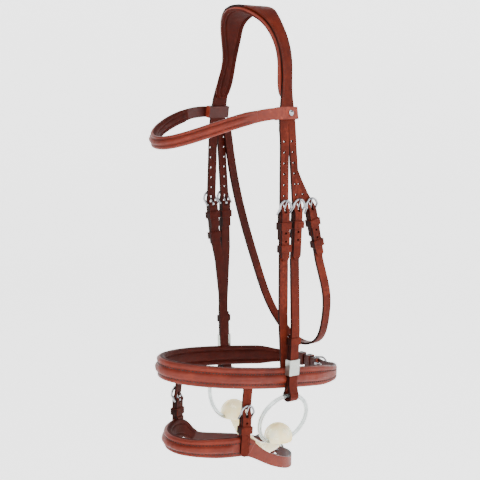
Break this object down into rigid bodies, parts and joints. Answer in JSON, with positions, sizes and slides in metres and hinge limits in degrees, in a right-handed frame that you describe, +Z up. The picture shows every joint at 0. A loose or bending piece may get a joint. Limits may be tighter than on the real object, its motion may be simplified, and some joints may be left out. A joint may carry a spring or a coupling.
{
  "type": "bridle headstall with combination noseband",
  "caption": "Padded leather bridle headstall with browband, throatlash, combination noseband and a loose-ring plastic mullen bit, hanging from its poll.",
  "frame": {"origin": "underside of the headpiece padding at the middle of the poll", "axes": "+Z up, -Y towards the horse's nose, +X towards the horse's left side"},
  "size_m": [0.1674, 0.273, 0.5973],
  "materials": {
    "bridle_leather": "smooth semi-gloss chestnut bridle leather with dark cut edges",
    "lining_leather": "soft chestnut leather over foam padding",
    "buckle_metal": "polished plated steel",
    "clip_metal": "satin plated metal",
    "clear_plastic": "clear hard plastic",
    "amber_plastic": "milky amber soft plastic"
  },
  "bodies": {
    "headstall": {"cheek_left_buckle": "buckle_metal", "cheek_left_keeper": "bridle_leather", "cheek_right_buckle": "buckle_metal", "cheek_right_keeper": "bridle_leather", "cheekpiece_left": "bridle_leather", "cheekpiece_right": "bridle_leather", "hanger_left_buckle": "buckle_metal", "hanger_left_keeper": "bridle_leather", "hanger_right_buckle": "buckle_metal", "hanger_right_keeper": "bridle_leather", "headpiece": "bridle_leather", "headpiece_padding": "lining_leather", "link_left_buckle": "buckle_metal", "link_left_keeper": "bridle_leather", "link_right_buckle": "buckle_metal", "link_right_keeper": "bridle_leather", "link_strap_left": "bridle_leather", "link_strap_right": "bridle_leather", "link_tab_left": "bridle_leather", "link_tab_right": "bridle_leather", "lower_noseband": "bridle_leather", "lower_noseband_buckle": "buckle_metal", "lower_noseband_keeper": "bridle_leather", "lower_noseband_padding": "lining_leather", "noseband_buckle": "buckle_metal", "noseband_hanger_left": "bridle_leather", "noseband_hanger_right": "bridle_leather", "noseband_keeper": "bridle_leather", "throatlash": "bridle_leather", "throatlash_buckle": "buckle_metal", "throatlash_keeper": "bridle_leather", "upper_noseband": "bridle_leather", "upper_noseband_padding": "lining_leather"},
    "hanger_left_prong_body": {"hanger_left_prong": "buckle_metal"},
    "cheek_left_prong_body": {"cheek_left_prong": "buckle_metal"},
    "hanger_right_prong_body": {"hanger_right_prong": "buckle_metal"},
    "cheek_right_prong_body": {"cheek_right_prong": "buckle_metal"},
    "throatlash_prong_body": {"throatlash_prong": "buckle_metal"},
    "link_left_prong_body": {"link_left_prong": "buckle_metal"},
    "link_right_prong_body": {"link_right_prong": "buckle_metal"},
    "noseband_prong_body": {"noseband_prong": "buckle_metal"},
    "lower_noseband_prong_body": {"lower_noseband_prong": "buckle_metal"},
    "hanger_left_running_keeper_body": {"hanger_left_running_keeper": "bridle_leather"},
    "hanger_right_running_keeper_body": {"hanger_right_running_keeper": "bridle_leather"},
    "throatlash_running_keeper_body": {"throatlash_running_keeper": "bridle_leather"},
    "noseband_running_keeper_body": {"noseband_running_keeper": "bridle_leather"},
    "lower_noseband_running_keeper_body": {"lower_noseband_running_keeper": "bridle_leather"},
    "cheek_left_running_keeper_body": {"cheek_left_running_keeper": "bridle_leather"},
    "bit_clip_left_body": {"bit_clip_left": "clip_metal"},
    "cheek_right_running_keeper_body": {"cheek_right_running_keeper": "bridle_leather"},
    "bit_clip_right_body": {"bit_clip_right": "clip_metal"},
    "browband_body": {"browband": "bridle_leather", "browband_padding": "lining_leather", "browband_studs": "buckle_metal"},
    "bit_ring_left_body": {"bit_ring_left": "clear_plastic"},
    "bit_ring_right_body": {"bit_ring_right": "clear_plastic"},
    "mouthpiece_body": {"mouthpiece": "amber_plastic"}
  },
  "joints": [
    {"name": "hanger_left_prong_hinge", "type": "hinge", "parent": "headstall", "child": "hanger_left_prong_body", "pos_m": [0.068, -0.0015, -0.2456], "axis": [0, 1, 0], "range_deg": [0, 8]},
    {"name": "cheek_left_prong_hinge", "type": "hinge", "parent": "headstall", "child": "cheek_left_prong_body", "pos_m": [0.068, 0.0208, -0.2456], "axis": [0, 0.9982, -0.0593], "range_deg": [0, 8]},
    {"name": "hanger_right_prong_hinge", "type": "hinge", "parent": "headstall", "child": "hanger_right_prong_body", "pos_m": [-0.068, -0.0037, -0.2456], "axis": [0, -0.9921, -0.1253], "range_deg": [0, 8]},
    {"name": "cheek_right_prong_hinge", "type": "hinge", "parent": "headstall", "child": "cheek_right_prong_body", "pos_m": [-0.068, 0.0185, -0.2456], "axis": [0, -0.9998, -0.0192], "range_deg": [0, 8]},
    {"name": "throatlash_prong_hinge", "type": "hinge", "parent": "headstall", "child": "throatlash_prong_body", "pos_m": [0.068, 0.0446, -0.2456], "axis": [0, 0.9724, 0.2334], "range_deg": [0, 8]},
    {"name": "link_left_prong_hinge", "type": "hinge", "parent": "headstall", "child": "link_left_prong_body", "pos_m": [0.05681, -0.0526, -0.4976], "axis": [0.1538, 0.985, -0.0785], "range_deg": [0, 8]},
    {"name": "link_right_prong_hinge", "type": "hinge", "parent": "headstall", "child": "link_right_prong_body", "pos_m": [-0.05113, -0.075, -0.4976], "axis": [0.3403, -0.9397, 0.0349], "range_deg": [0, 8]},
    {"name": "noseband_prong_hinge", "type": "hinge", "parent": "headstall", "child": "noseband_prong_body", "pos_m": [0, 0.126, -0.47438], "axis": [0, 0, 1], "range_deg": [0, 8]},
    {"name": "lower_noseband_prong_hinge", "type": "hinge", "parent": "headstall", "child": "lower_noseband_prong_body", "pos_m": [0, 0.045, -0.5791], "axis": [0, 0, 1], "range_deg": [0, 8]},
    {"name": "hanger_left_keeper_slide", "type": "slide", "parent": "headstall", "child": "hanger_left_running_keeper_body", "axis": [0, 0, 1], "range_m": [-0.005, 0.005]},
    {"name": "hanger_right_keeper_slide", "type": "slide", "parent": "headstall", "child": "hanger_right_running_keeper_body", "axis": [0, -0.1253, 0.9921], "range_m": [-0.005, 0.005]},
    {"name": "throatlash_keeper_slide", "type": "slide", "parent": "headstall", "child": "throatlash_running_keeper_body", "axis": [0, -0.2334, 0.9724], "range_m": [-0.005, 0.005]},
    {"name": "noseband_keeper_slide", "type": "slide", "parent": "headstall", "child": "noseband_running_keeper_body", "axis": [0.9725, 0.23, -0.0361], "range_m": [-0.002, 0.002]},
    {"name": "lower_noseband_keeper_slide", "type": "slide", "parent": "headstall", "child": "lower_noseband_running_keeper_body", "axis": [0.9713, 0.2373, -0.0133], "range_m": [-0.002, 0.002]},
    {"name": "cheek_left_keeper_slide", "type": "slide", "parent": "headstall", "child": "cheek_left_running_keeper_body", "axis": [0, -0.0593, -0.9982], "range_m": [0, 0.006]},
    {"name": "bit_clip_left_slide", "type": "slide", "parent": "headstall", "child": "bit_clip_left_body", "axis": [0, 0.0593, 0.9982], "range_m": [0, 0.006]},
    {"name": "cheek_right_keeper_slide", "type": "slide", "parent": "headstall", "child": "cheek_right_running_keeper_body", "axis": [0, 0.0192, -0.9998], "range_m": [0, 0.006]},
    {"name": "bit_clip_right_slide", "type": "slide", "parent": "headstall", "child": "bit_clip_right_body", "axis": [0, -0.0192, 0.9998], "range_m": [0, 0.006]},
    {"name": "browband_slide", "type": "slide", "parent": "headstall", "child": "browband_body", "axis": [0, 0, 1], "range_m": [-0.0025, 0.0025]},
    {"name": "bit_ring_left_spin", "type": "hinge", "parent": "headstall", "child": "bit_ring_left_body", "pos_m": [0.06556, 0.0038, -0.50992], "axis": [0.947, -0.15, -0.284], "continuous": true},
    {"name": "bit_ring_right_spin", "type": "hinge", "parent": "headstall", "child": "bit_ring_right_body", "pos_m": [-0.06556, 0.01967, -0.51029], "axis": [-0.947, -0.15, -0.284], "continuous": true},
    {"name": "mouthpiece_rock", "type": "hinge", "parent": "headstall", "child": "mouthpiece_body", "pos_m": [0, 0.01329, -0.54367], "axis": [0.99, -0.1409, 0.0032], "range_deg": [-3, 3]}
  ]
}
